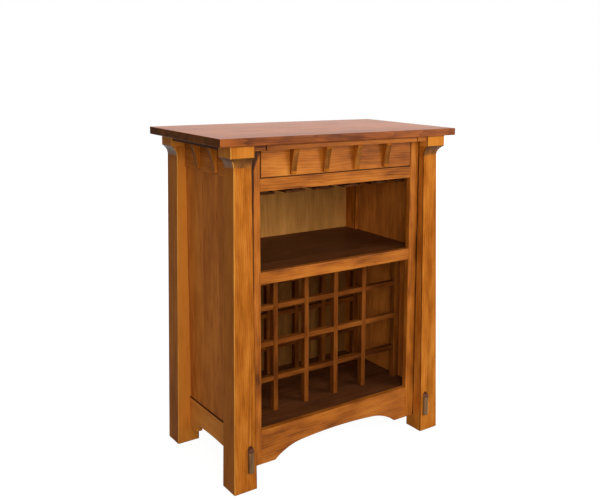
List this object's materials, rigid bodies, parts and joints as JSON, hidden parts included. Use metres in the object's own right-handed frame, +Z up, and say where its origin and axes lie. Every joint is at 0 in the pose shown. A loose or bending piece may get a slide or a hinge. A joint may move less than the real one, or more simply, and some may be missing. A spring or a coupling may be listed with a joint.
{
  "type": "wine cabinet",
  "caption": "Wooden wine cabinet with tapered posts, a bracketed drawer, a hanging stemware rack, an open shelf and a bottle lattice.",
  "frame": {"origin": "on the floor, under the middle of the tabletop", "axes": "+X to the right as seen by a person facing the cabinet, +Y to the back, +Z up"},
  "size_m": [0.876, 0.495, 1.067],
  "materials": {
    "stained_wood": "satin lacquer",
    "plug_wood": "satin lacquer",
    "plain_wood": "matt",
    "zinc_steel": "zinc plated"
  },
  "bodies": {
    "cabinet": {"top": "stained_wood", "post_front_left": "stained_wood", "post_front_right": "stained_wood", "post_rear_left": "stained_wood", "post_rear_right": "stained_wood", "stile_left": "stained_wood", "stile_right": "stained_wood", "drawer_rail": "stained_wood", "shelf_rail": "stained_wood", "bottom_rail": "stained_wood", "stile_block_left": "stained_wood", "stile_block_right": "stained_wood", "side_rail_left": "stained_wood", "side_rail_right": "stained_wood", "side_apron_left": "stained_wood", "side_apron_right": "stained_wood", "side_strip_left": "stained_wood", "side_strip_right": "stained_wood", "side_panel_left": "stained_wood", "side_panel_right": "stained_wood", "side_corbels_left": "stained_wood", "side_corbels_right": "stained_wood", "back_rail_top": "stained_wood", "back_rail_bottom": "stained_wood", "back_panel": "stained_wood", "floor_board": "stained_wood", "shelf": "stained_wood", "rack_board": "stained_wood", "stem_flanges": "stained_wood", "stem_webs": "stained_wood", "front_lattice_uprights": "stained_wood", "front_lattice_bars": "stained_wood", "rear_lattice_uprights": "stained_wood", "rear_lattice_bars": "stained_wood", "post_plugs": "plug_wood", "floor_cleats": "plain_wood", "shelf_cleats": "plain_wood", "drawer_guide_left": "plain_wood", "drawer_guide_right": "plain_wood", "top_blocks": "plain_wood", "rack_screws": "zinc_steel", "top_screws": "zinc_steel", "guide_screws": "zinc_steel", "slide_outer_left": "zinc_steel", "slide_outer_right": "zinc_steel"},
    "slide_middles": {"slide_middle_left": "zinc_steel", "slide_middle_right": "zinc_steel"},
    "drawer": {"slide_inner_left": "zinc_steel", "slide_inner_right": "zinc_steel", "drawer_screws": "zinc_steel", "drawer_face": "stained_wood", "drawer_strip": "stained_wood", "drawer_corbels": "stained_wood", "drawer_side_left": "plain_wood", "drawer_side_right": "plain_wood", "drawer_box_front": "plain_wood", "drawer_box_back": "plain_wood", "drawer_bottom": "plain_wood"}
  },
  "joints": [
    {"name": "drawer_travel", "type": "slide", "parent": "cabinet", "child": "drawer", "axis": [0, -1, 0], "range_m": [0, 0.33]},
    {"name": "slide_travel", "type": "slide", "parent": "cabinet", "child": "slide_middles", "axis": [0, -1, 0], "range_m": [0, 0.165]}
  ],
  "couplings": [
    {"joint": "slide_travel", "follows": "drawer_travel", "ratio": 0.5}
  ]
}
